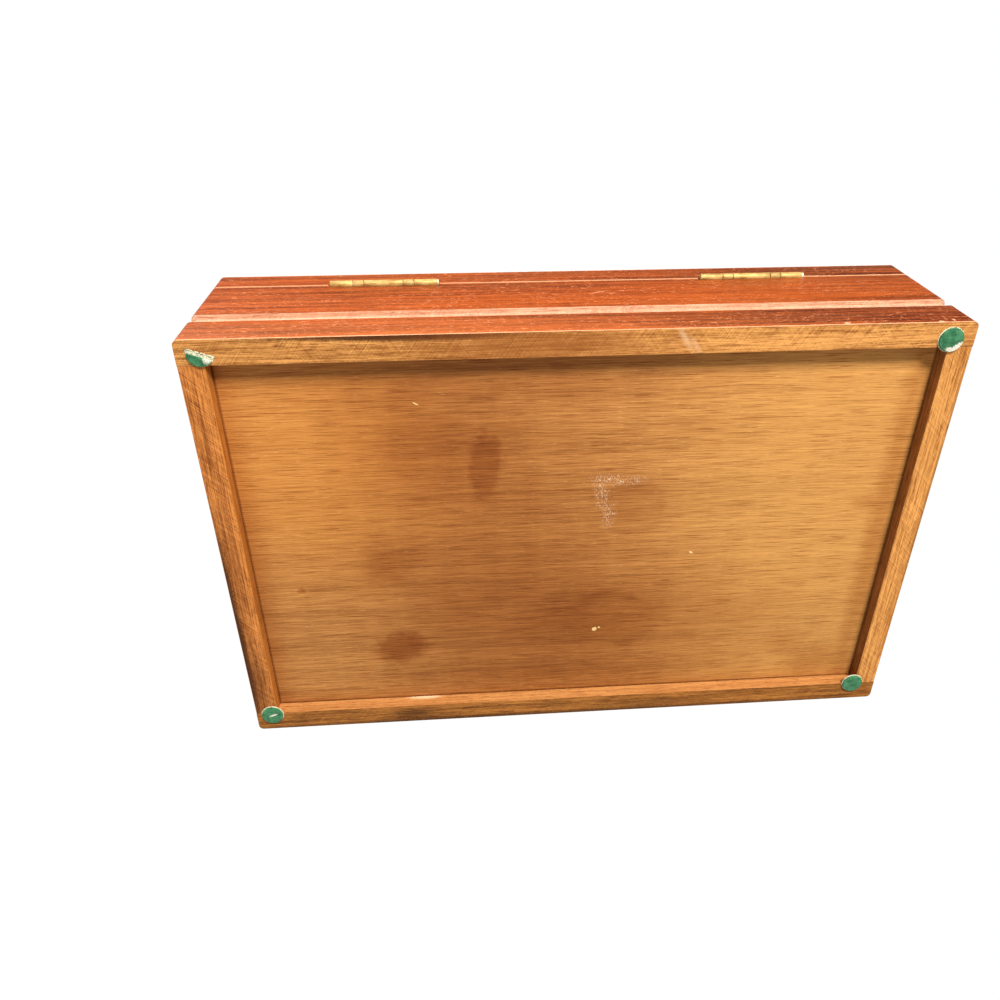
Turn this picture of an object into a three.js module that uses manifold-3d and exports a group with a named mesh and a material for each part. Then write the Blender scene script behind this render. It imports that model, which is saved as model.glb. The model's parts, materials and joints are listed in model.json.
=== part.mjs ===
// A hinged wooden box, closed: four butt-jointed walls with a sunk bottom panel, a framed lid,
// two brass butt hinges let into the back seam, and a felt pad under each corner.
// Millimetres, +Z up, front towards -Y, right towards +X. The group's origin is the centre of
// the underside of the whole object, hinge knuckles included.
import * as THREE from "three";
import { mergeVertices } from "three/addons/utils/BufferGeometryUtils.js";
import Module from "manifold-3d";

const wasm = await Module();
wasm.setup();

// ---- driving dimensions ----

// overall plan and the wooden heights
const boxLength = 270;
const boxDepth = 177;
const bodyHeight = 52.6;
const lidHeight = 12.7;
const wall = 9;
const cornerRadius = 2; // upright outer corners, in plan
const glueLine = 0.1; // between wooden parts that are glued edge to edge
const lidGap = 0.4; // between the body's top edge and the closed lid

// decorative groove that runs round the outside of the body
const grooveBottom = 16.7; // above the underside of the walls
const grooveWidth = 6.8;
const grooveDepth = 1.5;

// bottom panel, housed in a slot in all four walls
const bottomRecess = 5.6; // underside of the panel above the underside of the walls
const bottomThickness = 3;
const slotDepth = 4;
const panelPlay = 0.3; // all round the panel in its slot

// lid panel, let flush into a rebate on the lid rails
const lidPanelThickness = 4;
const lidBorder = 4; // rail seen round the panel from above

// butt hinges
const hingeLength = 40;
const hingeSpacing = 142; // centre to centre
const hingeProud = 0.4; // pin axis behind the back face
const knuckleRadius = 1.4;
const pinRadius = 0.6;
const pinPlay = 0.06;
const pinHeadRadius = 1.25;
const pinHeadLength = 0.8;
const leafThickness = 0.8;
const leafReach = 7.2; // from the pin axis to the leaf's inner edge
const outerKnuckle = 8.4; // the two end knuckles, on the body leaf
const innerKnuckle = 3.8; // the two short knuckles, on the lid leaf
const knuckleGap = 0.3; // endwise, between neighbouring knuckles
const mortisePlay = 0.2; // round each leaf and knuckle in the wood

// countersunk slotted screws, two to a leaf
const screwRadius = 1.0;
const screwHeadRadius = 1.8;
const screwHeadHeight = 0.7;
const screwPointLength = 2;
const screwCover = 1.9; // wood between a lid screw's point and the lid panel's rebate
const screwSlotWidth = 0.45;
const screwSlotDepth = 0.35;
const screwSpacing = 24; // between the two screws of a leaf
const screwFromAxis = 4.2; // pin axis to screw centre
const screwPlay = 0.15; // radial, in leaf and wood
const pilotExtra = 0.8; // pilot hole beyond the screw's point

// felt pads, stuck on by eye: each pad's centre is set from the end face and the long face
const padRadius = 4.6;
const padThickness = 1;
const padInsets = {
  front_left: [10.3, 9.4],
  front_right: [6.8, 8.5],
  back_left: [8.8, 6.2],
  back_right: [8.3, 4.7],
};
const tornPad = "back_right"; // this pad has lost its outer half along a straight tear
const tornPadChord = 0.2; // pad centre to the torn edge
const tornPadTilt = 19; // degrees between the torn edge and the box's length

// facets of round shapes
const cornerSegments = 6;
const knuckleSegments = 28;
const screwSegments = 16;
const padSegments = 32;
const cutOver = 1; // how far a cutter runs past the surface that it opens

// ---- places worked out from the dimensions ----

const halfLength = boxLength / 2;
const halfDepth = boxDepth / 2;
const bodyBottom = padThickness;
const bodyTop = bodyBottom + bodyHeight;
const lidBottom = bodyTop + lidGap;
const lidTop = lidBottom + lidHeight;
const sideWallEnd = halfDepth - wall - glueLine;
const bottomUnderside = bodyBottom + bottomRecess;
const hingeAxisY = halfDepth + hingeProud;
const hingeAxisZ = bodyTop + lidGap / 2;
const screwLength = lidHeight - lidPanelThickness - glueLine - screwCover;
const middleKnuckle = hingeLength - 2 * (outerKnuckle + innerKnuckle) - 4 * knuckleGap;
const centreY = (hingeProud + knuckleRadius) / 2; // middle of the depth, knuckles included

// ---- materials ----

function finish(color, roughness, metalness) {
  return new THREE.MeshStandardMaterial({ color, roughness, metalness });
}

const stainedWood = finish(0x9c3f1b, 0.35, 0);
const panelWood = finish(0xb87a3e, 0.6, 0);
const leafBrass = finish(0xe3c36b, 0.3, 1);
const screwBrass = finish(0xcfae5a, 0.35, 1);
const pinBrass = finish(0xd8c9a0, 0.3, 1);
const greenFelt = finish(0x3f8a62, 0.95, 0);

// ---- solids: three.js geometry in, manifold-3d cuts and joins, three.js geometry out ----

function solid(geometry) {
  const bare = geometry.clone();
  bare.deleteAttribute("normal");
  bare.deleteAttribute("uv");
  const merged = mergeVertices(bare, 1e-4);
  return new wasm.Manifold(
    new wasm.Mesh({
      numProp: 3,
      vertProperties: new Float32Array(merged.attributes.position.array),
      triVerts: new Uint32Array(merged.index.array),
    }),
  );
}

function geometryOf(manifold) {
  const mesh = manifold.getMesh();
  const geometry = new THREE.BufferGeometry();
  geometry.setAttribute("position", new THREE.BufferAttribute(mesh.vertProperties, 3));
  geometry.setIndex(new THREE.BufferAttribute(mesh.triVerts, 1));
  const flat = geometry.toNonIndexed();
  flat.computeVertexNormals();
  return flat;
}

function piece(name, manifold, material) {
  const mesh = new THREE.Mesh(geometryOf(manifold), material);
  mesh.name = name;
  return mesh;
}

// A block between two opposite corners.
function block([x0, y0, z0], [x1, y1, z1]) {
  const box = new THREE.BoxGeometry(x1 - x0, y1 - y0, z1 - z0);
  return solid(box.translate((x0 + x1) / 2, (y0 + y1) / 2, (z0 + z1) / 2));
}

// A block centred on the Z axis in plan.
function centredBlock(length, depth, z0, z1) {
  return block([-length / 2, -depth / 2, z0], [length / 2, depth / 2, z1]);
}

function roundedRectangle(length, depth, radius, Path) {
  const x = length / 2;
  const y = depth / 2;
  const outline = new Path();
  outline.moveTo(-x + radius, -y);
  outline.lineTo(x - radius, -y);
  outline.absarc(x - radius, -y + radius, radius, -Math.PI / 2, 0);
  outline.lineTo(x, y - radius);
  outline.absarc(x - radius, y - radius, radius, 0, Math.PI / 2);
  outline.lineTo(-x + radius, y);
  outline.absarc(-x + radius, y - radius, radius, Math.PI / 2, Math.PI);
  outline.lineTo(-x, -y + radius);
  outline.absarc(-x + radius, -y + radius, radius, Math.PI, 1.5 * Math.PI);
  return outline;
}

function extruded(shape, z0, z1, curveSegments) {
  const geometry = new THREE.ExtrudeGeometry(shape, { depth: z1 - z0, bevelEnabled: false, curveSegments });
  return solid(geometry.translate(0, 0, z0));
}

// The plan of the whole box, with its rounded corners, between two heights.
function boxPlan(z0, z1) {
  const shape = roundedRectangle(boxLength, boxDepth, cornerRadius, THREE.Shape);
  return extruded(shape, z0, z1, cornerSegments);
}

// A round bar along X, centred on x = 0, on the line through (y, z).
function barAlongX(radius, length, y, z) {
  const bar = new THREE.CylinderGeometry(radius, radius, length, knuckleSegments);
  return solid(bar.rotateZ(Math.PI / 2).translate(0, y, z));
}

// A solid of revolution about the Z axis from (radius, height) points.
function turned(points, segments) {
  const profile = points.map(([r, z]) => new THREE.Vector2(r, z));
  return solid(new THREE.LatheGeometry(profile, segments).rotateX(Math.PI / 2));
}

// ---- body: four walls and the bottom panel ----

// The four strips of a butt-jointed frame: front and back run through, the sides fit between.
function frameStrips(z0, z1) {
  return {
    front: block([-halfLength, -halfDepth, z0], [halfLength, wall - halfDepth, z1]),
    back: block([-halfLength, halfDepth - wall, z0], [halfLength, halfDepth, z1]),
    left: block([-halfLength, -sideWallEnd, z0], [wall - halfLength, sideWallEnd, z1]),
    right: block([halfLength - wall, -sideWallEnd, z0], [halfLength, sideWallEnd, z1]),
  };
}

// The ring of material that the outside groove removes.
function grooveRing() {
  const over = 2 * cutOver;
  const shape = roundedRectangle(boxLength + over, boxDepth + over, cornerRadius, THREE.Shape);
  const inner = [boxLength - 2 * grooveDepth, boxDepth - 2 * grooveDepth, cornerRadius - grooveDepth];
  shape.holes.push(roundedRectangle(...inner, THREE.Path));
  const z = bodyBottom + grooveBottom;
  return extruded(shape, z, z + grooveWidth, cornerSegments);
}

// The slot for the bottom panel, as the block that it removes.
function panelSlot() {
  const inside = 2 * (slotDepth - wall);
  const z0 = bottomUnderside - panelPlay / 2;
  const z1 = bottomUnderside + bottomThickness + panelPlay / 2;
  return centredBlock(boxLength + inside, boxDepth + inside, z0, z1);
}

// The bottom panel floats in its slot with play at its edges and faces.
function bottomPanel() {
  const reach = 2 * (slotDepth - wall - panelPlay);
  const z1 = bottomUnderside + bottomThickness;
  return centredBlock(boxLength + reach, boxDepth + reach, bottomUnderside, z1);
}

// ---- hinges ----

// Hinge parts are made about x = 0 and moved along the seam to their place.
const knuckleEnds = [
  -hingeLength / 2,
  -middleKnuckle / 2 - knuckleGap - innerKnuckle,
  -middleKnuckle / 2,
  middleKnuckle / 2 + knuckleGap,
  hingeLength / 2 - outerKnuckle,
];
const knuckleLengths = [outerKnuckle, innerKnuckle, middleKnuckle, innerKnuckle, outerKnuckle];

function knuckleTube(index) {
  const tube = barAlongX(knuckleRadius, knuckleLengths[index], hingeAxisY, hingeAxisZ);
  return tube.translate([knuckleEnds[index] + knuckleLengths[index] / 2, 0, 0]);
}

// Cutter that keeps a leaf clear of the other leaf's knuckle.
function knuckleRelief(index) {
  const x0 = knuckleEnds[index] - knuckleGap;
  const x1 = x0 + knuckleLengths[index] + 2 * knuckleGap;
  const reach = knuckleRadius + mortisePlay;
  return block(
    [x0, hingeAxisY - reach, hingeAxisZ - reach],
    [x1, hingeAxisY + reach, hingeAxisZ + reach],
  );
}

const screwPlaces = [-screwSpacing / 2, screwSpacing / 2];

// A screw with its head's top face at z = 0 and its point downwards.
function screw() {
  const shank = turned(
    [
      [0, -screwLength],
      [screwRadius, screwPointLength - screwLength],
      [screwRadius, -screwHeadHeight],
      [screwHeadRadius, 0],
      [0, 0],
    ],
    screwSegments,
  );
  const half = screwSlotWidth / 2;
  const slot = block([-screwHeadRadius, -half, -screwSlotDepth], [screwHeadRadius, half, cutOver]);
  return shank.subtract(slot);
}

// The hole that a screw needs: the same outline, wider all round, open above and longer below.
function screwHole() {
  const depth = screwLength + pilotExtra;
  return turned(
    [
      [0, -depth],
      [screwRadius + screwPlay, -depth],
      [screwRadius + screwPlay, -screwHeadHeight],
      [screwHeadRadius + screwPlay, 0],
      [screwHeadRadius + screwPlay, cutOver],
      [0, cutOver],
    ],
    screwSegments,
  );
}

// direction is -1 for the body leaf, below the seam, and 1 for the lid leaf, above it.
const leafFace = (direction) => hingeAxisZ + (direction * lidGap) / 2;

// Both screws of a leaf, or their holes, turned to point away from the seam.
function placedAtScrews(make, direction) {
  return screwPlaces.map((x) => {
    const turnedOver = direction > 0 ? make().rotate([180, 0, 0]) : make();
    return turnedOver.translate([x, hingeAxisY - screwFromAxis, leafFace(direction)]);
  });
}

function leafPlate(direction, extra) {
  const faces = [leafFace(direction), leafFace(direction) + direction * (leafThickness + extra)];
  return block(
    [-hingeLength / 2 - extra, hingeAxisY - leafReach - extra, Math.min(...faces)],
    [hingeLength / 2 + extra, hingeAxisY, Math.max(...faces)],
  );
}

// A leaf: plate and its own knuckles, notched for the others, bored for the pin and the screws.
function leaf(direction, ownKnuckles) {
  let made = leafPlate(direction, 0);
  knuckleLengths.forEach((_, index) => {
    if (!ownKnuckles.includes(index)) made = made.subtract(knuckleRelief(index));
  });
  for (const index of ownKnuckles) made = made.add(knuckleTube(index));
  made = made.subtract(barAlongX(pinRadius + pinPlay, hingeLength + 2 * cutOver, hingeAxisY, hingeAxisZ));
  for (const hole of placedAtScrews(screwHole, direction)) made = made.subtract(hole);
  return made;
}

// The pin, with an upset head outside the left-hand knuckle.
function pin() {
  const shank = barAlongX(pinRadius, hingeLength, hingeAxisY, hingeAxisZ);
  const head = barAlongX(pinHeadRadius, pinHeadLength, hingeAxisY, hingeAxisZ);
  return shank.add(head.translate([(-hingeLength - pinHeadLength) / 2, 0, 0]));
}

// What a hinge removes from the wood on one side of the seam: leaf, knuckle barrel and screws.
function hingeMortise(direction) {
  const barrelLength = hingeLength + 2 * (pinHeadLength + mortisePlay);
  let cut = leafPlate(direction, mortisePlay);
  cut = cut.add(barAlongX(knuckleRadius + mortisePlay, barrelLength, hingeAxisY, hingeAxisZ));
  for (const hole of placedAtScrews(screwHole, direction)) cut = cut.add(hole);
  return cut.add(leafPlate(direction, mortisePlay).translate([0, 0, (-direction * lidGap) / 2]));
}

const hingePlaces = { left: -hingeSpacing / 2, right: hingeSpacing / 2 };

function withHingeMortises(wood, direction) {
  return Object.values(hingePlaces).reduce(
    (cut, x) => cut.subtract(hingeMortise(direction).translate([x, 0, 0])),
    wood,
  );
}

// ---- lid: four rails and a flush panel ----

function lidRebate() {
  const borders = 2 * lidBorder;
  const z0 = lidTop - lidPanelThickness - glueLine;
  return centredBlock(boxLength - borders, boxDepth - borders, z0, lidTop + cutOver);
}

function lidPanel() {
  const borders = 2 * (lidBorder + glueLine);
  return centredBlock(boxLength - borders, boxDepth - borders, lidTop - lidPanelThickness, lidTop);
}

// ---- felt pads ----

function feltPad() {
  const disc = new THREE.CylinderGeometry(padRadius, padRadius, padThickness, padSegments);
  return solid(disc.rotateX(Math.PI / 2).translate(0, 0, padThickness / 2));
}

// The pad that has lost its outer part along a straight tear.
function tornFeltPad() {
  const reach = 2 * padRadius;
  const lost = block([-reach, tornPadChord, -cutOver], [reach, reach, padThickness + cutOver]);
  return feltPad().subtract(lost.rotate([0, 0, tornPadTilt]));
}

// ---- the assembly ----

const body = new THREE.Group();
const outside = boxPlan(bodyBottom, bodyTop).subtract(grooveRing()).subtract(panelSlot());
for (const [side, strip] of Object.entries(frameStrips(bodyBottom, bodyTop))) {
  const plain = outside.intersect(strip);
  body.add(piece("wall_" + side, side === "back" ? withHingeMortises(plain, -1) : plain, stainedWood));
}
body.add(piece("bottom_panel", bottomPanel(), panelWood));

const lid = new THREE.Group();
const lidOutside = boxPlan(lidBottom, lidTop).subtract(lidRebate());
for (const [side, strip] of Object.entries(frameStrips(lidBottom, lidTop))) {
  const plain = lidOutside.intersect(strip);
  lid.add(piece("lid_rail_" + side, side === "back" ? withHingeMortises(plain, 1) : plain, stainedWood));
}
lid.add(piece("lid_panel", lidPanel(), stainedWood));

for (const [side, x] of Object.entries(hingePlaces)) {
  const bodySide = new THREE.Group();
  bodySide.position.x = x;
  bodySide.add(piece("hinge_" + side + "_body_leaf", leaf(-1, [0, 2, 4]), leafBrass));
  bodySide.add(piece("hinge_" + side + "_pin", pin(), pinBrass));
  placedAtScrews(screw, -1).forEach((made, index) => {
    bodySide.add(piece("hinge_" + side + "_body_screw_" + (index + 1), made, screwBrass));
  });
  body.add(bodySide);

  const lidSide = new THREE.Group();
  lidSide.position.x = x;
  lidSide.add(piece("hinge_" + side + "_lid_leaf", leaf(1, [1, 3]), leafBrass));
  placedAtScrews(screw, 1).forEach((made, index) => {
    lidSide.add(piece("hinge_" + side + "_lid_screw_" + (index + 1), made, screwBrass));
  });
  lid.add(lidSide);
}

for (const [corner, [fromEnd, fromFace]] of Object.entries(padInsets)) {
  const pad = piece("pad_" + corner, corner === tornPad ? tornFeltPad() : feltPad(), greenFelt);
  const x = halfLength - fromEnd;
  const y = halfDepth - fromFace;
  pad.position.set(corner.endsWith("right") ? x : -x, corner.startsWith("back") ? y : -y, 0);
  body.add(pad);
}

const box = new THREE.Group();
box.add(body, lid);
box.position.y = -centreY;
const part = new THREE.Group();
part.add(box);

export default part;
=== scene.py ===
# A hinged wooden box, closed, seen from below and behind: stained hardwood walls with a groove
# round them, a sunk plywood bottom, a framed lid, brass butt hinges and green felt pads.
import json
import math

import bmesh
import bpy
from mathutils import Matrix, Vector


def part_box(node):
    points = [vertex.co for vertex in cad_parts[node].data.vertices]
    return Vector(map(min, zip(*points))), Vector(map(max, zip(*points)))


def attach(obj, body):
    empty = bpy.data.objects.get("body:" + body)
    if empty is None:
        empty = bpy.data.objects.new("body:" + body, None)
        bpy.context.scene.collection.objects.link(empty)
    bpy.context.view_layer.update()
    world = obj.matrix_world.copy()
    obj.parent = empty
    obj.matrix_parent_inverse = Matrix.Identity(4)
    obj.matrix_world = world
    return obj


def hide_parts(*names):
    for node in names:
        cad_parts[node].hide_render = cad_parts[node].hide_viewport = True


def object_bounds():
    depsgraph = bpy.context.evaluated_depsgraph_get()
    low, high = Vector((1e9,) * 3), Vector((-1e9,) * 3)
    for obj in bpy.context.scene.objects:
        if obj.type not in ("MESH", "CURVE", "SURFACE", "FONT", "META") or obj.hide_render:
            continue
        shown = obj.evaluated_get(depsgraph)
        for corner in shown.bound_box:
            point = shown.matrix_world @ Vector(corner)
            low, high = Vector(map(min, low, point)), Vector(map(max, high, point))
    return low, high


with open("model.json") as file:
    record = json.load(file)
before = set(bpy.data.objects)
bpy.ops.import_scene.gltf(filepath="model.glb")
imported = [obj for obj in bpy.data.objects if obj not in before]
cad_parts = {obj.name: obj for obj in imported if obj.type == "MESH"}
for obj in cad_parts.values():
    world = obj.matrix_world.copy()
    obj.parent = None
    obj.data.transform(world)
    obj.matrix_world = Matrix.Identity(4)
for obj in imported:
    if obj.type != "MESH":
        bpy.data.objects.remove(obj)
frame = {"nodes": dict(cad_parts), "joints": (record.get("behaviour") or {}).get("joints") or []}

MM = 0.001
cad_low, cad_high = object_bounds()


# ---- Stage: floor, daylight and camera ----
# The box stands on a plain pale floor under soft studio light. The camera is below the floor's
# level, looking up at the underside, so the floor shows only from above, like glass with a sheet
# laid on it: it blocks no light and no view from beneath.

class Value:
    """An output of a shader node. Arithmetic on it adds the Math nodes that work it out."""

    def __init__(self, finish, socket):
        self.finish = finish
        self.socket = socket

    def maths(self, operation, first, second):
        return self.finish.node("ShaderNodeMath", {"operation": operation}, {0: first, 1: second})

    def __add__(self, other):
        return self.maths("ADD", self, other)

    def __radd__(self, other):
        return self.maths("ADD", other, self)

    def __sub__(self, other):
        return self.maths("SUBTRACT", self, other)

    def __rsub__(self, other):
        return self.maths("SUBTRACT", other, self)

    def __mul__(self, other):
        return self.maths("MULTIPLY", self, other)

    def __rmul__(self, other):
        return self.maths("MULTIPLY", other, self)

    def __truediv__(self, other):
        return self.maths("DIVIDE", self, other)

    def __pow__(self, other):
        return self.maths("POWER", self, other)

    def __abs__(self):
        return self.maths("ABSOLUTE", self, 0)

    def largest(self, other):
        return self.maths("MAXIMUM", self, other)

    def smallest(self, other):
        return self.maths("MINIMUM", self, other)

    def rising(self, start, end):
        """0 where the value is below start, 1 above end, smooth between; falls if end < start."""
        inputs = {"Value": self, "From Min": start, "From Max": end}
        return self.finish.node("ShaderNodeMapRange", {"interpolation_type": "SMOOTHSTEP"}, inputs)


class Finish:
    """A material being mixed, with the nodes that give its colour, gloss and relief."""

    def __init__(self, name, tree=None):
        if tree is None:
            self.material = bpy.data.materials.new(name)
            self.material.use_nodes = True
            tree = self.material.node_tree
            self.shader = tree.nodes["Principled BSDF"]
        self.tree = tree
        self.known_axes = None

    def node(self, kind, settings, inputs, output=0):
        """Adds a node: its settings first, then the values or links of its sockets."""
        made = self.tree.nodes.new(kind)
        for name, value in settings.items():
            setattr(made, name, value)
        for key, value in inputs.items():
            if isinstance(value, Value):
                self.tree.links.new(value.socket, made.inputs[key])
            else:
                made.inputs[key].default_value = value
        return Value(self, made.outputs[output])

    def place(self):
        """The point on the piece, in metres, in the frame of the whole box."""
        return self.node("ShaderNodeTexCoord", {}, {}, "Object")

    def axes(self):
        """The point's three coordinates in millimetres."""
        if self.known_axes is None:
            scaled = self.times(self.place(), (1 / MM,) * 3)
            self.known_axes = [self.node("ShaderNodeSeparateXYZ", {}, {0: scaled}, axis)
                               for axis in "XYZ"]
        return self.known_axes

    def times(self, vector, factors):
        return self.node("ShaderNodeVectorMath", {"operation": "MULTIPLY"}, {0: vector, 1: factors})

    def grain(self, along, length, width):
        """Coordinates for a pattern whose marks are about length by width millimetres."""
        factors = [1 / (width * MM)] * 3
        factors["XYZ".index(along)] = 1 / (length * MM)
        return self.times(self.place(), factors)

    def noise(self, vector, detail=2.0, rough=0.5, distort=0.0, seed=0.0):
        inputs = {"Vector": vector, "W": seed, "Scale": 1.0, "Detail": detail}
        inputs |= {"Roughness": rough, "Distortion": distort}
        return self.node("ShaderNodeTexNoise", {"noise_dimensions": "4D"}, inputs)

    def spot(self, plane, middle, reach, turn=0.0, soft=0.3, ragged=0.0, seed=0.0):
        """1 inside an oval mark and 0 outside it. middle and reach are in millimetres, turn is in
        degrees, and ragged is how far its outline wanders as a share of its reach."""
        across, up = [self.axes()["XYZ".index(axis)] for axis in plane]
        cosine, sine = math.cos(math.radians(turn)), math.sin(math.radians(turn))
        across, up = across - middle[0], up - middle[1]
        first = (cosine / reach[0]) * across + (sine / reach[0]) * up
        second = (cosine / reach[1]) * up - (sine / reach[1]) * across
        distance = (first * first + second * second) ** 0.5
        if ragged:
            size = max(min(reach) / 2, 0.4)
            wander = self.noise(self.grain("X", size, size), 3, 0.6, 0.0, seed)
            distance = distance + 2 * ragged * (wander - 0.5)
        return distance.rising(1 + soft, 1 - soft)

    def blend(self, first, second, factor):
        """Colour first where factor is 0 and second where it is 1."""
        settings = {"data_type": "RGBA", "clamp_factor": True}
        return self.node("ShaderNodeMix", settings, {0: factor, 6: first, 7: second}, 2)

    def tint(self, colour, other, amount):
        """Colour multiplied by another colour, by the given amount."""
        settings = {"data_type": "RGBA", "blend_type": "MULTIPLY", "clamp_factor": True}
        return self.node("ShaderNodeMix", settings, {0: amount, 6: colour, 7: other}, 2)

    def relief(self, height, depth):
        """The bump made by height, a value from 0 to 1, at its real depth in millimetres."""
        inputs = {"Strength": 1.0, "Distance": depth * MM, "Height": height}
        return self.node("ShaderNodeBump", {}, inputs)

    def give(self, **sockets):
        """Sets or links the shader's sockets: base_color is the socket Base Color, and so on."""
        for name, value in sockets.items():
            socket = self.shader.inputs[name.replace("_", " ").title().replace("Ior", "IOR")]
            if isinstance(value, Value):
                self.tree.links.new(value.socket, socket)
            else:
                socket.default_value = value
        return self.material


def clear_selection():
    bpy.ops.object.select_all(action="DESELECT")


camera_data = bpy.data.cameras.new("camera")
camera_data.lens = 30.30
camera_data.shift_x, camera_data.shift_y = -0.03, -0.016
camera_data.clip_start = 0.01
camera = bpy.data.objects.new("camera", camera_data)
camera.location = Vector((39.7, 188.7, -261.5)) * MM
camera.rotation_euler = [math.radians(angle) for angle in (148.74, 4.32, 179.74)]
bpy.context.collection.objects.link(camera)
bpy.context.scene.camera = camera
bpy.context.scene.view_settings.view_transform = "Standard"


def soft_light(name, place, size, power, warmth):
    """A square studio light that faces the middle of the box."""
    data = bpy.data.lights.new(name, "AREA")
    data.size = size
    data.energy = power
    data.color = warmth
    light = bpy.data.objects.new(name, data)
    light.location = place
    towards_box = Vector((0, 0, 0.03)) - Vector(place)
    light.rotation_euler = towards_box.to_track_quat("-Z", "Y").to_euler()
    bpy.context.collection.objects.link(light)


daylight, lamp_white = (1.0, 0.96, 0.9), (1.0, 0.98, 0.96)
soft_light("light_below", (-0.42, 1.8, -1.12), 0.5, 69, daylight)
soft_light("light_below_front", (0.5, -0.5, -1.0), 0.9, 3, lamp_white)
soft_light("light_above", (-0.7, -0.9, 1.1), 0.9, 26, daylight)
soft_light("light_above_back", (1.0, 1.0, 0.7), 0.9, 13, lamp_white)

world = bpy.data.worlds.new("studio")
world.use_nodes = True
bpy.context.scene.world = world
surround = Finish("studio", world.node_tree)
seen = surround.node("ShaderNodeLightPath", {}, {}, "Is Camera Ray")
mirrored = surround.node("ShaderNodeLightPath", {}, {}, "Is Glossy Ray")
backdrop = world.node_tree.nodes["Background"]
room_white, backdrop_white = (1.0, 0.93, 0.84, 1.0), (1.0, 1.0, 1.0, 1.0)
room_glow, backdrop_extra, mirrored_less = 0.36, 0.66, 0.2
air = surround.blend(room_white, backdrop_white, seen)
glow = room_glow + backdrop_extra * seen - mirrored_less * mirrored
world.node_tree.links.new(air.socket, backdrop.inputs["Color"])
world.node_tree.links.new(glow.socket, backdrop.inputs["Strength"])

floor_size, floor_drop = 3.0, 0.2 * MM
clear_selection()
bpy.ops.mesh.primitive_plane_add(size=floor_size, location=(0, 0, -floor_drop))
floor = bpy.context.object
floor.name = "floor"
bpy.ops.object.transform_apply(location=True)
sheet = Finish("floor_sheet")
above = sheet.node("ShaderNodeBsdfDiffuse", {}, {"Color": (0.83, 0.82, 0.8, 1.0)})
below = sheet.node("ShaderNodeBsdfTransparent", {}, {})
underneath = sheet.node("ShaderNodeNewGeometry", {}, {}, "Backfacing")
one_sided = sheet.node("ShaderNodeMixShader", {}, {0: underneath, 1: above, 2: below})
sheet.tree.links.new(one_sided.socket, sheet.tree.nodes["Material Output"].inputs["Surface"])
floor.data.materials.append(sheet.material)
floor.visible_diffuse = floor.visible_glossy = floor.visible_shadow = False


# ---- Walls of the body ----
# Four butt-jointed boards of pale hardwood, 9 mm thick, with a groove run round the outside and a
# slot inside for the bottom panel. The outside is stained red-brown and lacquered, and is rubbed
# pale along its arrises. Sawn edges and insides are bare.

def shade(red, green, blue):
    """A colour named by its screen values, 0 to 255, as the linear colour that shaders use."""
    def linear(value):
        value /= 255
        return value / 12.92 if value <= 0.04045 else ((value + 0.055) / 1.055) ** 2.4

    return (linear(red), linear(green), linear(blue), 1.0)


def wood_figure(finish, along, seed):
    """Streaks, fine lines and pores of a straight-grained board, each from 0 to 1."""
    broad = finish.noise(finish.grain(along, 240, 8), 3, 0.55, 0.3, seed).rising(0.32, 0.68)
    streaks = finish.noise(finish.grain(along, 120, 1.5), 3, 0.6, 0.15, seed + 3).rising(0.38, 0.62)
    lines = finish.noise(finish.grain(along, 18, 0.42), 2, 0.6, 0.0, seed + 5).rising(0.38, 0.62)
    pores = finish.noise(finish.grain(along, 7, 0.3), 1, 0.5, 0.0, seed + 7).rising(0.58, 0.66)
    return broad, streaks, lines, pores


def rubbed_arrises(finish, along, seed, levels):
    """1 where the finish is rubbed through at the level outer arrises, given as pairs of a height
    and a width in millimetres. It fades with depth in from the outer faces."""
    ragged = finish.noise(finish.grain(along, 8, 1.2), 3, 0.7, 0.0, seed + 17)
    x, y, z = finish.axes()
    half_length, middle = cad_high.x / MM, (wall_high.y + outer_front_y) / 2 / MM
    half_depth = wall_high.y / MM - middle
    depth = (half_length - abs(x)).smallest(half_depth - abs(y - middle))
    rubbed = 0.0 * ragged
    for level, width in levels:
        reach = width * (0.1 + 1.5 * ragged)
        rubbed = rubbed.largest(((abs(z - level) + 0.6 * depth) / reach).rising(1.2, 0.7))
    return rubbed


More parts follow.
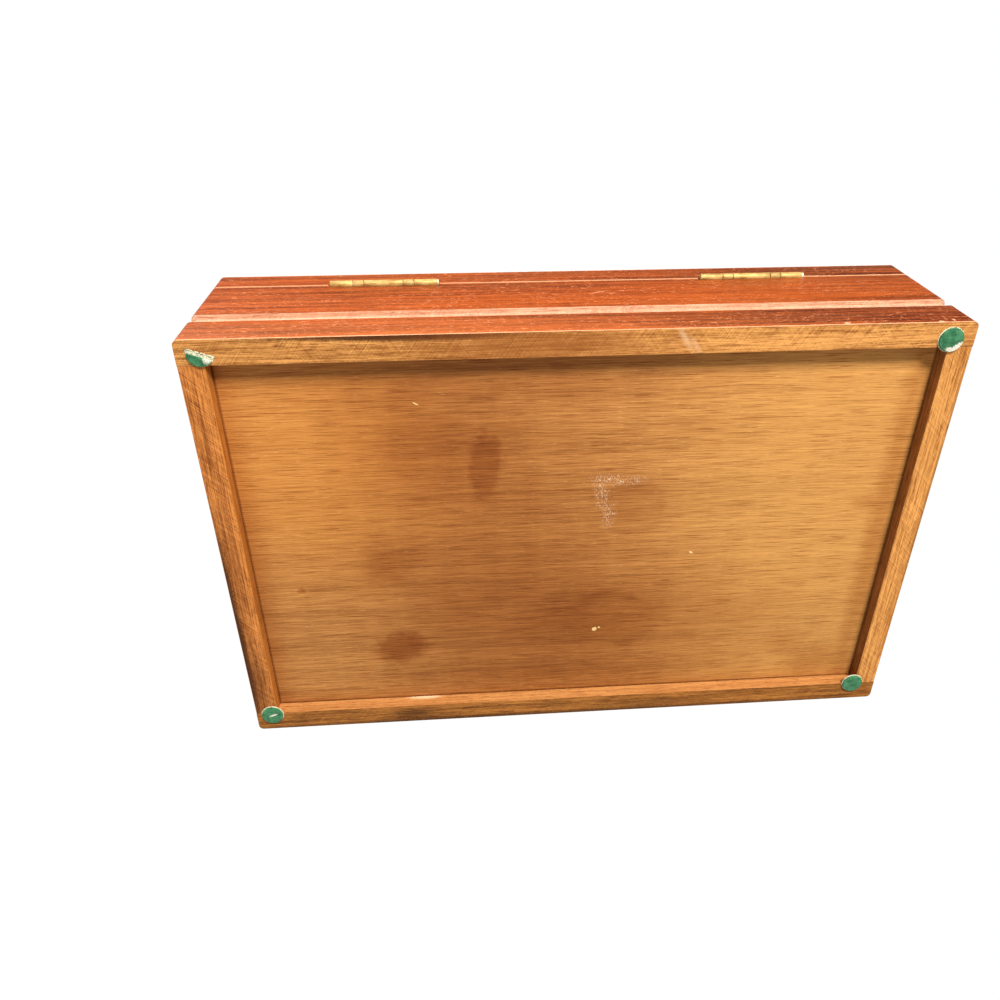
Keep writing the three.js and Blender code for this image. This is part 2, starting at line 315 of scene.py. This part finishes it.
def stained(name, along, seed, worn_levels, chips=()):
    """Red-brown stain under satin lacquer, worn at the level arrises, with pale chips. The colour
    is painted lighter towards the positive end of the board's length and darker towards the
    negative end, as light falls off along it, and the lower band gets a painted pale sheen.
    """
    finish = Finish(name)
    broad, streaks, lines, pores = wood_figure(finish, along, seed)
    # Painted light: 0 at the board's negative end and 1 at its positive end along the grain, so the
    # stain is painted darker at one end and lighter at the other, as the light falls off along it.
    painted_light_falloff = finish.axes()["XYZ".index(along)].rising(-130, 64)
    lower_band = finish.axes()[2].rising(groove_low / MM, groove_low / MM - 5)
    tone = 0.16 * broad + 0.42 * streaks + 0.36 * lines + 0.34 * painted_light_falloff - 0.24
    colour = finish.blend(shade(90, 32, 6), shade(196, 91, 31), tone)
    warm = finish.noise(finish.grain(along, 150, 30), 2, 0.5, 0.0, seed + 11).rising(0.42, 0.68)
    colour = finish.blend(colour, shade(212, 98, 24), 0.3 * warm)
    colour = finish.tint(colour, shade(140, 80, 56), 0.6 * pores)
    flecks = finish.noise(finish.grain(along, 2, 0.42), 2, 0.65, 0.0, seed + 13).rising(0.58, 0.67)
    patches = finish.noise(finish.grain(along, 30, 9), 2, 0.5, 0.0, seed + 14).rising(0.38, 0.6)
    # Part of the flecks' density is painted light: it rises with the painted falloff and on the
    # lower band.
    dense = 0.14 + 0.5 * patches + 0.14 * painted_light_falloff + 0.16 * lower_band
    colour = finish.blend(colour, shade(240, 154, 106), flecks * dense)
    # Painted sheen: pale clouds over the face, and a pale wash on the lower band that grows with
    # the painted falloff, standing in for light reflected off the lacquer.
    painted_haze_noise = finish.noise(finish.grain(along, 60, 12), 3, 0.6, 0.0, seed + 15).rising(0.46, 0.64)
    painted_sheen = 0.05 * painted_haze_noise + 0.12 * lower_band * painted_light_falloff
    colour = finish.blend(colour, shade(228, 150, 96), painted_sheen)
    rubbed = rubbed_arrises(finish, along, seed, worn_levels)
    for spot in chips:
        rubbed = rubbed.largest(finish.spot("XZ", *spot, seed))
    colour = finish.blend(colour, shade(244, 180, 138), 0.9 * rubbed)
    gloss = 0.38 + 0.12 * streaks + 0.15 * flecks + 0.2 * rubbed
    surface = 0.55 * lines + 0.45 * streaks - 0.5 * pores
    return finish.give(base_color=colour, roughness=gloss, normal=finish.relief(surface, 0.05),
                       specular_ior_level=0.22, coat_weight=0.05, coat_roughness=0.2)


def sawn(name, along, seed, pale, dark, sawing, marks=()):
    """Bare wood: short fibres under slanting saw marks, which sawing makes stronger or weaker, with
    painted glints on the marks that are as strong as the sawing. Each mark is a colour, how strong
    it is, and the terms of a spot, and is on the underside only."""
    finish = Finish(name)
    broad, streaks, lines, pores = wood_figure(finish, along, seed)
    fibres = finish.noise(finish.grain(along, 2.4, 0.4), 4, 0.75, 0.0, seed + 19)
    x, y, z = finish.axes()
    pitch, lean, crossed = (1.6, 1.1, 0.6) if along == "X" else (2.0, -1.9, 0.1)
    slant = {0: pitch * x + lean * y, 1: 0.05 * y, 2: 0.05 * z}
    saw = finish.noise(finish.node("ShaderNodeCombineXYZ", {}, slant), 2, 0.6, 0.0, seed + 23)
    other = {0: pitch * x - lean * y, 1: 0.04 * y, 2: 0.04 * z}
    cross = finish.noise(finish.node("ShaderNodeCombineXYZ", {}, other), 2, 0.6, 0.0, seed + 24)
    patches = finish.noise(finish.grain(along, 34, 12), 3, 0.6, 0.0, seed + 29)
    deeper = finish.noise(finish.grain(along, 16, 9), 2, 0.5, 0.0, seed + 27).rising(0.4, 0.62)
    cuts = sawing * (0.5 + 1.0 * deeper) * (saw + crossed * cross - 0.5 - 0.5 * crossed)
    tone = 0.9 * fibres + 0.2 * streaks + 0.25 * lines + cuts + 0.6 * patches - 0.47
    colour = finish.blend(dark, pale, tone.rising(0.1, 0.9))
    colour = finish.tint(colour, shade(140, 88, 56), 0.6 * pores)
    # Painted glints: pale flecks where the saw marks and fibres catch the light.
    painted_glints = (saw * fibres).rising(0.34, 0.42)
    colour = finish.blend(colour, shade(246, 202, 150), 0.5 * sawing * painted_glints)
    colour = finish.tint(colour, shade(160, 108, 72), 0.45 * patches.rising(0.58, 0.76))
    low_down = z.rising(40, 30)
    for mark_colour, strength, spot in marks:
        colour = finish.blend(colour, mark_colour, strength * low_down * finish.spot(*spot))
    surface = 0.5 * fibres + sawing * (0.3 * saw + 0.2 * cross) + 0.2 * lines
    return finish.give(base_color=colour, roughness=0.6 + 0.2 * fibres, specular_ior_level=0.16,
                       normal=finish.relief(surface, 0.1))


wall_low, wall_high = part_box("wall_back")
outer_front_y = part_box("wall_front")[0].y
lid_low, lid_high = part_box("lid_rail_back")
groove_low = wall_low.z + 16.7 * MM
groove_high = groove_low + 6.8 * MM
groove_depth = 1.5 * MM
corner_radius = 2 * MM
outer_arris, inner_arris = 0.4 * MM, 0.2 * MM

body_arrises = [(wall_low.z / MM, 0.8), (wall_high.z / MM, 0.3), (groove_low / MM, 0.25)]
lid_arrises = [(lid_low.z / MM, 0.7), (lid_high.z / MM, 0.4)]
grime, soot = shade(74, 38, 14), shade(48, 26, 14)
edge_tones = {
    "back": (shade(236, 170, 96), shade(150, 92, 38)),
    "front": (shade(192, 126, 58), shade(100, 56, 20)),
    "left": (shade(238, 172, 96), shade(168, 104, 46)),
    "right": (shade(224, 144, 72), shade(134, 72, 26)),
}
edge_sawing = {"back": 0.7, "front": 0.25, "left": 0.8, "right": 1.1}
inside_sawing, groove_sawing = 0.15, 0.5
edge_marks = {
    "back": [
        (grime, 0.85, ("XY", (64, 87.2), (46, 0.8), 0.0, 0.5, 0.8, 1.0)),
        (grime, 0.9, ("XY", (56, 86.6), (30, 1.2), 0.2, 0.5, 0.6, 2.0)),
        (shade(146, 82, 34), 0.7, ("XY", (16, 83), (36, 6), 0.0, 0.8, 0.5, 11.0)),
        (shade(232, 192, 152), 0.5, ("XY", (-33, 84), (0.9, 4), -32.0, 0.9, 0.8, 3.0)),
        (shade(232, 192, 152), 0.35, ("XY", (-37, 81.5), (0.8, 3), -32.0, 0.9, 0.8, 4.0)),
    ],
    "front": [
        (soot, 0.75, ("XY", (10, -89.2), (112, 1.6), 0.0, 0.7, 0.8, 5.0)),
        (soot, 0.6, ("XY", (69, -84.5), (8, 2.2), 0.0, 0.8, 0.7, 6.0)),
        (grime, 0.45, ("XY", (-40, -86), (22, 1.6), 0.0, 0.8, 0.6, 7.0)),
    ],
    "left": [(grime, 0.4, ("XY", (-134.6, 20), (0.7, 60), 0.0, 0.6, 0.7, 8.0))],
    "right": [
        (soot, 0.85, ("XY", (134.5, -40), (1.5, 54), 0.0, 0.6, 0.8, 9.0)),
        (grime, 0.6, ("XY", (132, -64), (4, 22), 0.0, 0.8, 0.6, 10.0)),
        (grime, 0.25, ("XY", (131, -10), (3, 30), 0.0, 0.8, 0.8, 15.0)),
    ],
}
inside_tones = {
    "back": (shade(214, 140, 68), shade(160, 92, 36)),
    "front": (shade(208, 146, 84), shade(164, 104, 52)),
    "left": (shade(182, 124, 66), shade(118, 70, 32)),
    "right": (shade(226, 148, 66), shade(172, 104, 42)),
}
inside_marks = {
    "front": [(shade(250, 206, 168), 0.8, ("XZ", (64, 5.9), (6.5, 0.9), 0.0, 0.5, 0.9, 14.0))],
}
groove_tones = (shade(238, 194, 164), shade(196, 138, 106))


def timber_finishes(part, along, seed, arrises, edge, inside, chips=()):
    """The finishes of one board: stained face, sawn edges, bare inside, bare groove. edge and
    inside are each a pale tone, a dark tone, how strong the saw marks are, and any marks."""
    return [
        stained(part + "_stained", along, seed, arrises, chips),
        sawn(part + "_edge", along, seed + 31, *edge),
        sawn(part + "_inside", along, seed + 37, *inside),
        sawn(part + "_groove", along, seed + 41, *groove_tones, groove_sawing),
    ]


def block(name, low, high):
    """A block between two corners, with its place in its mesh."""
    clear_selection()
    low, high = Vector(low), Vector(high)
    bpy.ops.mesh.primitive_cube_add(size=1, location=(low + high) / 2, scale=high - low)
    piece = bpy.context.object
    piece.name = name
    bpy.ops.object.transform_apply(location=True, scale=True)
    return piece


def bar(name, centre, radius, length, sides=48):
    """A round bar along X."""
    clear_selection()
    bpy.ops.mesh.primitive_cylinder_add(vertices=sides, radius=radius, depth=length,
                                        location=centre, rotation=(0, math.pi / 2, 0))
    piece = bpy.context.object
    piece.name = name
    bpy.ops.object.transform_apply(location=True, rotation=True)
    return piece


def choose(piece, kind, test):
    """Opens the piece in edit mode with only the faces or edges that pass the test selected."""
    clear_selection()
    bpy.context.view_layer.objects.active = piece
    piece.select_set(True)
    bpy.ops.object.mode_set(mode="EDIT")
    bpy.ops.mesh.select_mode(type=kind)
    bpy.ops.mesh.select_all(action="DESELECT")
    mesh = bmesh.from_edit_mesh(piece.data)
    for part in mesh.faces if kind == "FACE" else mesh.edges:
        part.select_set(test(part))
    bmesh.update_edit_mesh(piece.data)


def close_edit():
    bpy.ops.object.mode_set(mode="OBJECT")


def round_corners(piece, radius, outer_y=None):
    """Rounds the upright corners: all of them, or the two on the outer face."""
    def wanted(edge):
        first, second = [vert.co for vert in edge.verts]
        upright = (first - second).xy.length < 1e-6
        return upright and (outer_y is None or abs(first.y - outer_y) < 1e-5)

    choose(piece, "EDGE", wanted)
    bpy.ops.mesh.bevel(offset=radius, segments=8, affect="EDGES")
    close_edit()


def apply_modifier(piece, kind, **settings):
    clear_selection()
    bpy.context.view_layer.objects.active = piece
    piece.select_set(True)
    modifier = piece.modifiers.new("work", kind)
    for name, value in settings.items():
        setattr(modifier, name, value)
    bpy.ops.object.modifier_apply(modifier=modifier.name)


def cut_away(piece, *cutters):
    """Cuts the cutters' shapes out of the piece and throws the cutters away."""
    for cutter in cutters:
        apply_modifier(piece, "BOOLEAN", operation="DIFFERENCE", solver="EXACT", object=cutter)
        bpy.data.objects.remove(cutter)


def shade_smooth(piece, angle=40):
    clear_selection()
    bpy.context.view_layer.objects.active = piece
    piece.select_set(True)
    bpy.ops.object.shade_smooth_by_angle(angle=math.radians(angle))


def ease(piece, width, segments=3, wanted=lambda edge: True):
    """Eases the sharp arrises that are wanted."""
    def sharp(edge):
        return edge.is_manifold and edge.calc_face_angle() > math.radians(30) and wanted(edge)

    choose(piece, "EDGE", sharp)
    bpy.ops.mesh.bevel(offset=width, segments=segments, affect="EDGES", clamp_overlap=True)
    close_edit()
    shade_smooth(piece)


def groove_cutter():
    """The ring that the outside groove takes away."""
    over = Vector((2, 2, 0)) * MM
    low = Vector((cad_low.x, outer_front_y, groove_low))
    high = Vector((cad_high.x, wall_high.y, groove_high))
    inset = Vector((groove_depth, groove_depth, -1 * MM))
    ring = block("groove_cutter", low - over, high + over)
    core = block("groove_core", low + inset, high - inset)
    round_corners(core, corner_radius - groove_depth)
    cut_away(ring, core)
    return ring


def slot_cutter():
    """The panel and the play round it, which the slot takes away."""
    play = Vector((0.3, 0.3, 0.15)) * MM
    low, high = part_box("bottom_panel")
    return block("slot_cutter", low - play, high + play)


hinge_axis = Vector(frame["joints"][0]["pos_m"])
hinge_play = 0.2 * MM
knuckle_radius = 1.4 * MM
mortise_depth = 1.0 * MM


def mortise_cutters(side):
    """The recesses of both hinges in one side of the seam: leaf recess and knuckle hollow."""
    cutters = []
    for hinge in ("left", "right"):
        low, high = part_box(f"hinge_{hinge}_{side}_leaf")
        play = Vector((hinge_play,) * 3)
        leaf_low, leaf_high = low - play, high + play
        leaf_high.y = hinge_axis.y
        leaf_low.z = wall_high.z - mortise_depth if side == "body" else wall_high.z
        leaf_high.z = lid_low.z if side == "body" else lid_low.z + mortise_depth
        cutters.append(block("leaf_cutter", leaf_low, leaf_high))
        barrel_low, barrel_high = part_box(f"hinge_{hinge}_body_leaf")
        middle = Vector(((barrel_low.x + barrel_high.x) / 2, *hinge_axis.yz))
        length = barrel_high.x - barrel_low.x + 2 * MM
        cutters.append(bar("knuckle_cutter", middle, knuckle_radius + hinge_play, length))
    return cutters


opening_low = Vector((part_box("wall_left")[1].x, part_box("wall_front")[1].y, 0))
opening_high = Vector((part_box("wall_right")[0].x, wall_low.y, 0))


def beside_opening(point, slack):
    """True for a point in the opening inside the walls, or within slack of it."""
    within_x = opening_low.x - slack < point.x < opening_high.x + slack
    return within_x and opening_low.y - slack < point.y < opening_high.y + slack


def paint_board(piece, finishes, grooved):
    """Gives each face of a board its finish, by where it is and which way it faces."""
    for finish in finishes:
        piece.data.materials.append(finish)
    stain, edge, inside, groove = range(4)
    slack = 0.02 * MM
    for face in piece.data.polygons:
        level = abs(face.normal.z)
        height = face.center.z
        in_groove = groove_low - slack < height < groove_high + slack
        well_in = groove_low + slack < height < groove_high - slack
        if level < 0.97 and beside_opening(face.center, inner_arris + slack):
            face.material_index = inside
        elif grooved and in_groove and (well_in or level > 0.9):
            face.material_index = groove
        elif level > 0.9:
            face.material_index = edge
        else:
            face.material_index = stain


def on_outside(edge):
    """True for an arris on the outer faces of the box, and not in the groove's inner corners."""
    middle = (edge.verts[0].co + edge.verts[1].co) / 2
    depths = (middle.x - cad_low.x, cad_high.x - middle.x,
              middle.y - outer_front_y, wall_high.y - middle.y)
    return min(depths) < 0.3 * MM


def in_joint(edge, low, high, along):
    """True for an edge in the glued end faces of a board that fits between the others."""
    middle = (edge.verts[0].co + edge.verts[1].co) / 2
    return along == "Y" and min(middle.y - low.y, high.y - middle.y) < 0.05 * MM


def ease_board(piece, low, high, along):
    """Eases the outer arrises of a board by hand plane, and the inner ones with sandpaper."""
    def free(edge):
        return not in_joint(edge, low, high, along)

    ease(piece, outer_arris, 3, lambda edge: on_outside(edge) and free(edge))
    ease(piece, inner_arris, 2, lambda edge: not on_outside(edge) and free(edge))


sides = {"front": "X", "back": "X", "left": "Y", "right": "Y"}
wall_chips = {
    "back": [((-122, 2.0), (1.1, 0.7), 0.0, 0.4, 0.7), ((-127, 3.4), (0.5, 0.7), 0.0, 0.4, 0.7),
             ((-89, 2.3), (1.0, 0.9), 30.0, 0.4, 0.8), ((-9, 40), (3.0, 0.2), -24.0, 0.4, 0.3),
             ((-14, 38.6), (1.6, 0.15), -24.0, 0.4, 0.3)],
}
for index, (side, along) in enumerate(sides.items()):
    low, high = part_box("wall_" + side)
    wall = block("shown_wall_" + side, low, high)
    if along == "X":
        round_corners(wall, corner_radius, low.y if side == "front" else high.y)
    cut_away(wall, groove_cutter(), slot_cutter())
    if side == "back":
        cut_away(wall, *mortise_cutters("body"))
    ease_board(wall, low, high, along)
    edge = (*edge_tones[side], edge_sawing[side], edge_marks[side])
    inside = (*inside_tones[side], inside_sawing, inside_marks.get(side, ()))
    finishes = timber_finishes("wall_" + side, along, 50.0 * index, body_arrises, edge, inside,
                               wall_chips.get(side, ()))
    paint_board(wall, finishes, True)
    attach(wall, "body")
    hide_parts("wall_" + side)


# ---- Bottom panel ----
# A sheet of open-grained plywood, sunk above the walls' lower edges and held in their slot. Its
# underside is varnished thinly, and blotched, scuffed and chipped by use. Painted shade lies in its
# corners by the walls, and the −X wall's shadow is painted on it.

def panel_finish():
    """Open-grained ply under thin varnish, with painted glints in its grain. On the underside it
    has its blots, scuffs and chips, and painted shade along the walls.
    """
    finish = Finish("panel_ply")
    broad, streaks, lines, _ = wood_figure(finish, "X", 7.0)
    x, y, z = finish.axes()
    tone = 0.3 * broad + 0.25 * streaks + 0.45 * lines
    colour = finish.blend(shade(160, 102, 50), shade(208, 148, 82), tone)
    drift = 16 * finish.noise(finish.grain("X", 40, 30), 2, 0.5, 0.0, 70.0)
    golden = (x + drift).rising(0, -80)
    colour = finish.blend(colour, shade(232, 176, 98), 0.4 * golden)
    honey = finish.spot("XY", (100, 36), (42, 46), 0.0, 0.7, 0.3, 12.0)
    colour = finish.blend(colour, shade(220, 146, 62), 0.4 * honey)
    fine = finish.noise(finish.grain("X", 14, 0.3), 2, 0.6, 0.0, 75.0).rising(0.52, 0.66)
    areas = finish.noise(finish.grain("X", 50, 12), 2, 0.5, 0.0, 73.0).rising(0.35, 0.65)
    pores = finish.noise(finish.grain("X", 24, 0.34), 1, 0.5, 0.0, 71.0).rising(0.62, 0.72)
    open_grain = (0.75 * fine).largest(0.4 * pores + 0.5 * pores * areas)
    colour = finish.tint(colour, shade(178, 138, 104), open_grain)
    # Painted glints: short pale dashes in the grain where it catches the light.
    painted_glints = finish.noise(finish.grain("X", 4, 0.3), 2, 0.6, 0.0, 79.0).rising(0.60, 0.70)
    colour = finish.blend(colour, shade(248, 200, 134), 0.45 * painted_glints)
    upper_side = colour
    blots_and_painted_shade = [
        (0.65, ((36, 4), (44, 62), 0.0, 0.9, 0.5, 20.0)),
        (0.6, ((-4, -46), (66, 32), 0.0, 0.8, 0.5, 13.0)),
        (0.45, ((40, 70), (80, 10), 0.0, 0.9, 0.5, 38.0)),
        (0.6, ((35.5, 34), (6, 14), 6.0, 0.3, 0.6, 21.0)),
        (0.5, ((56, 46), (26, 18), -8.0, 0.9, 0.6, 22.0)),
        (0.6, ((74, -8), (9, 9), 0.0, 0.9, 0.6, 23.0)),
        (0.8, ((72, -52), (10.5, 7.5), -12.0, 0.4, 0.45, 24.0)),
        (0.25, ((-22, 13), (12, 14), 0.0, 0.2, 0.15, 25.0)),
        (0.45, ((-9, -42), (22, 13), 8.0, 0.9, 0.8, 26.0)),
        (0.5, ((10, -70), (60, 7), 0.0, 0.9, 0.7, 27.0)),
        (0.4, ((-113, 12), (5, 3), 0.0, 0.6, 0.6, 28.0)),
        (0.5, ((-108, -70), (12, 9), 0.0, 0.8, 0.6, 29.0)),
        (0.35, ((-92, -58), (7, 7), 0.0, 0.9, 0.6, 39.0)),
        (0.6, ((109, -20), (1.6, 1.4), 0.0, 0.4, 0.5, 30.0)),
        # The last two darken strips along the panel's ends. The −X one is a painted shadow cast by
        # that wall; the +X one darkens a strip beside that wall.
        (0.5, ((-121, 0), (4, 90), 0.0, 0.8, 0.5, 31.0)),
        (0.4, ((124, -10), (5, 80), 0.0, 0.9, 0.5, 40.0)),
    ]
    for strength, spot in blots_and_painted_shade:
        colour = finish.tint(colour, shade(206, 174, 144), strength * finish.spot("XY", *spot))
    # Painted shade: the panel darkens within about a millimetre of the walls, in the corner where
    # it meets them.
    middle_y = (opening_low.y + opening_high.y) / 2 / MM
    from_ends = opening_high.x / MM - abs(x)
    from_sides = opening_high.y / MM - middle_y - abs(y - middle_y)
    painted_corner_shade = from_ends.smallest(from_sides).rising(1.1, 0.2)
    colour = finish.tint(colour, shade(150, 104, 70), 0.7 * painted_corner_shade)
    ring = abs(finish.spot("XY", (-14, -43), (16, 14), 0.0, 0.6, 0.25, 32.0) - 0.5)
    colour = finish.tint(colour, shade(200, 166, 132), 0.5 * ring.rising(0.35, 0.05) * areas)
    scrapes = finish.noise(finish.grain("Y", 0.9, 0.45), 3, 0.7, 0.8, 33.0).rising(0.52, 0.64)
    scuffed = [
        ("XY", (-15, 26), (10, 2.2), 4.0, 0.5, 0.8, 34.0),
        ("XY", (-8.5, 20), (2.4, 7), -8.0, 0.6, 0.8, 35.0),
        ("XY", (-12, 10), (2.2, 5), 8.0, 0.7, 0.9, 36.0),
    ]
    for spot in scuffed:
        colour = finish.blend(colour, shade(246, 222, 196), 0.75 * scrapes * finish.spot(*spot))
    chips = [((-8.7, -46.8), (0.9, 1.1)), ((-10.6, -46), (0.5, 0.4)), ((59, 60), (1.1, 0.2)),
             ((-46, -9), (0.8, 0.4))]
    for middle, reach in chips:
        chip = finish.spot("XY", middle, reach, 30.0, 0.3, 0.5, 37.0)
        colour = finish.blend(colour, shade(252, 218, 150), 0.85 * chip)
    colour = finish.blend(upper_side, colour, z.rising(8.6, 7.8))
    surface = 0.5 * lines + 0.3 * streaks - 0.5 * pores - 0.3 * fine
    return finish.give(base_color=colour, roughness=0.55 + 0.15 * broad, specular_ior_level=0.16,
                       normal=finish.relief(surface, 0.06))


low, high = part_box("bottom_panel")
panel = block("shown_bottom_panel", low, high)
ease(panel, 0.2 * MM)
panel.data.materials.append(panel_finish())
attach(panel, "body")
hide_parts("bottom_panel")


# ---- Lid ----
# Four rails butt-jointed like the walls, with a panel let flush into a rebate round their top,
# stained and lacquered like the body. The lid's lower arris is rubbed pale.

panel_low, panel_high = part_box("lid_panel")
lid_top_arris = 0.9 * MM


def at_lid_top(edge):
    """True for the outer arrises of the lid's top."""
    level = min(vert.co.z for vert in edge.verts) > lid_high.z - 0.01 * MM
    return on_outside(edge) and level


for index, (side, along) in enumerate(sides.items()):
    low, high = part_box("lid_rail_" + side)
    rail = block("shown_lid_rail_" + side, low, high)
    if along == "X":
        round_corners(rail, corner_radius, low.y if side == "front" else high.y)
    play = Vector((0.1, 0.1, 0.1)) * MM
    cut_away(rail, block("rebate_cutter", panel_low - play, panel_high + 10 * play))
    if side == "back":
        cut_away(rail, *mortise_cutters("lid"))
    ease(rail, lid_top_arris, 4, at_lid_top)
    ease_board(rail, low, high, along)
    edge = (*edge_tones["left"], edge_sawing["left"])
    inside = (*inside_tones[side], inside_sawing)
    finishes = timber_finishes("lid_rail_" + side, along, 300 + 50.0 * index, lid_arrises,
                               edge, inside)
    paint_board(rail, finishes, False)
    stain = 0
    for face in rail.data.polygons:
        if face.normal.z > 0.9 and face.center.z > lid_high.z - 1 * MM:
            face.material_index = stain
    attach(rail, "lid")
    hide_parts("lid_rail_" + side)

lid_panel = block("shown_lid_panel", panel_low, panel_high)
ease(lid_panel, 0.3 * MM)
lid_panel.data.materials.append(stained("lid_panel_stained", "X", 520.0, []))
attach(lid_panel, "lid")
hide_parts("lid_panel")


# ---- Hinges ----
# Two brass butt hinges, 40 mm long, let into the seam so that only their knuckles show. Each is
# two leaves of bent sheet on an upset pin, and each leaf is held by two countersunk screws.

def metal(name, bright, dull, rough):
    """Handled brass, brighter and duller in clouds, with fine scratches across the knuckles."""
    finish = Finish(name)
    cloud = finish.noise(finish.grain("X", 5, 1.6), 3, 0.6, 0.0, 3.0)
    scratch = finish.noise(finish.grain("X", 0.12, 1.4), 2, 0.6, 0.0, 9.0)
    colour = finish.blend(dull, bright, cloud.rising(0.3, 0.62))
    return finish.give(base_color=colour, metallic=0.4, roughness=rough + 0.2 * cloud,
                       normal=finish.relief(0.6 * scratch + 0.4 * cloud, 0.02))


def refined(node, body, eased, finish):
    """A copy of a metal piece with its edges eased, in place of the plain one."""
    piece = bpy.data.objects.new("shown_" + node, frame["nodes"][node].data.copy())
    bpy.context.collection.objects.link(piece)
    choose(piece, "FACE", lambda face: True)
    bpy.ops.mesh.remove_doubles(threshold=1e-6)
    bpy.ops.mesh.dissolve_limited(angle_limit=math.radians(1))
    close_edit()
    apply_modifier(piece, "BEVEL", width=eased, segments=2, limit_method="ANGLE",
                   angle_limit=math.radians(35), use_clamp_overlap=True)
    shade_smooth(piece, 35)
    piece.data.materials.clear()
    piece.data.materials.append(finish)
    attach(piece, body)
    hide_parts(node)


leaf_brass = metal("leaf_brass", shade(226, 194, 122), shade(176, 134, 68), 0.5)
lid_leaf_brass = metal("lid_leaf_brass", shade(220, 186, 118), shade(168, 128, 68), 0.5)
pin_brass = metal("pin_brass", shade(250, 236, 200), shade(222, 194, 130), 0.34)
screw_brass = metal("screw_brass", shade(214, 178, 102), shade(150, 114, 58), 0.34)
for hinge in ("left", "right"):
    refined(f"hinge_{hinge}_body_leaf", "body", 0.08 * MM, leaf_brass)
    refined(f"hinge_{hinge}_lid_leaf", "lid", 0.12 * MM, lid_leaf_brass)
    for side in ("body", "lid"):
        for number in (1, 2):
            refined(f"hinge_{hinge}_{side}_screw_{number}", side, 0.05 * MM, screw_brass)
    refined(f"hinge_{hinge}_pin", "body", 0.15 * MM, pin_brass)


# ---- Felt pads ----
# Discs of pressed green felt on a pale gummed backing, stuck on by eye. One has lost its outer
# half along a straight tear, where the backing shows white, and two others are nicked.

def felt_finish(name, nicks):
    """Matted green felt, torn through to its backing at the nicks."""
    finish = Finish(name)
    fuzz = finish.noise(finish.grain("X", 0.3, 0.3), 3, 0.7, 0.6, 5.0)
    worn = finish.noise(finish.grain("X", 2.4, 2.4), 3, 0.6, 0.0, 8.0)
    tone = (0.5 * fuzz + 0.6 * worn - 0.05).rising(0.34, 0.66)
    colour = finish.blend(shade(20, 84, 50), shade(80, 148, 106), tone)
    for spot in nicks:
        torn = finish.spot("XY", *spot) * fuzz.rising(0.34, 0.5)
        colour = finish.blend(colour, shade(244, 240, 224), torn)
    return finish.give(base_color=colour, roughness=0.92, sheen_weight=0.12, sheen_roughness=0.5,
                       specular_ior_level=0.2, normal=finish.relief(fuzz, 0.12))


def backing_finish():
    """Off-white paper with gum and dirt left on it."""
    finish = Finish("gummed_backing")
    specks = finish.noise(finish.grain("X", 0.6, 0.6), 3, 0.7, 0.0, 2.0)
    colour = finish.blend(shade(150, 160, 118), shade(240, 236, 210), specks.rising(0.36, 0.52))
    dirt = finish.noise(finish.grain("X", 1.4, 0.4), 2, 0.6, 0.0, 6.0).rising(0.56, 0.62)
    colour = finish.tint(colour, shade(110, 100, 76), 0.8 * dirt)
    return finish.give(base_color=colour, roughness=0.7, normal=finish.relief(specks, 0.05))


gummed_backing = backing_finish()
pad_radius = 4.6 * MM
backing_thickness = 0.25 * MM
rim = 0.25 * MM


def disc(name, centre, radius, low_z, high_z):
    """A round disc that lies level between two heights."""
    clear_selection()
    place = (centre.x, centre.y, (low_z + high_z) / 2)
    bpy.ops.mesh.primitive_cylinder_add(vertices=72, radius=radius, depth=high_z - low_z,
                                        location=place)
    piece = bpy.context.object
    piece.name = name
    bpy.ops.object.transform_apply(location=True)
    return piece


def tear(piece, point, normal):
    """Takes off what lies beyond a straight tear."""
    choose(piece, "FACE", lambda face: True)
    bpy.ops.mesh.bisect(plane_co=point, plane_no=normal, use_fill=True, clear_outer=True)
    close_edit()


def fray(piece, point, normal):
    """Breaks a torn edge into small uneven teeth."""
    def torn(edge):
        return all(abs((vert.co - point).dot(normal)) < 0.01 * MM for vert in edge.verts)

    choose(piece, "EDGE", torn)
    bpy.ops.mesh.subdivide(number_cuts=24)
    bpy.ops.transform.vertex_random(offset=0.28 * MM, uniform=1.0, seed=4)
    close_edit()


torn_pad = "back_right"
tear_chord, tear_tilt, bared_strip = 0.2 * MM, math.radians(19), 1.3 * MM
for corner in ("front_left", "front_right", "back_left", "back_right"):
    low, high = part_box("pad_" + corner)
    centre = Vector(((low.x + high.x) / 2, low.y + pad_radius, 0))
    at = centre / MM
    nicks = {
        "front_right": [((at.x - 0.4, at.y + 0.2), (1.7, 0.4), -20.0, 0.5, 0.5, 41.0)],
        "back_left": [((at.x - 2.4, at.y - 2.7), (2.9, 1.1), -42.0, 0.3, 0.8, 43.0),
                      ((at.x - 0.2, at.y - 3.4), (1.6, 0.8), 10.0, 0.4, 0.8, 44.0)],
        "back_right": [((at.x - 2.2, at.y - 2.0), (1.3, 1.2), 15.0, 0.6, 0.9, 45.0)],
    }
    felt = disc("felt_" + corner, centre, pad_radius - rim, low.z, high.z - backing_thickness)
    paper = disc("paper_" + corner, centre, pad_radius, high.z - backing_thickness, high.z)
    if corner == torn_pad:
        outwards = Vector((-math.sin(tear_tilt), math.cos(tear_tilt), 0))
        tear(felt, centre + outwards * (tear_chord - bared_strip), outwards)
        tear(paper, centre + outwards * tear_chord, outwards)
        fray(paper, centre + outwards * tear_chord, outwards)
    ease(felt, 0.2 * MM)
    ease(paper, 0.05 * MM, 1)
    felt.data.materials.append(felt_finish("green_felt_" + corner, nicks.get(corner, ())))
    paper.data.materials.append(gummed_backing)
    clear_selection()
    paper.select_set(True)
    felt.select_set(True)
    bpy.context.view_layer.objects.active = felt
    bpy.ops.object.join()
    felt.name = "shown_pad_" + corner
    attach(felt, "body")
    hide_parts("pad_" + corner)
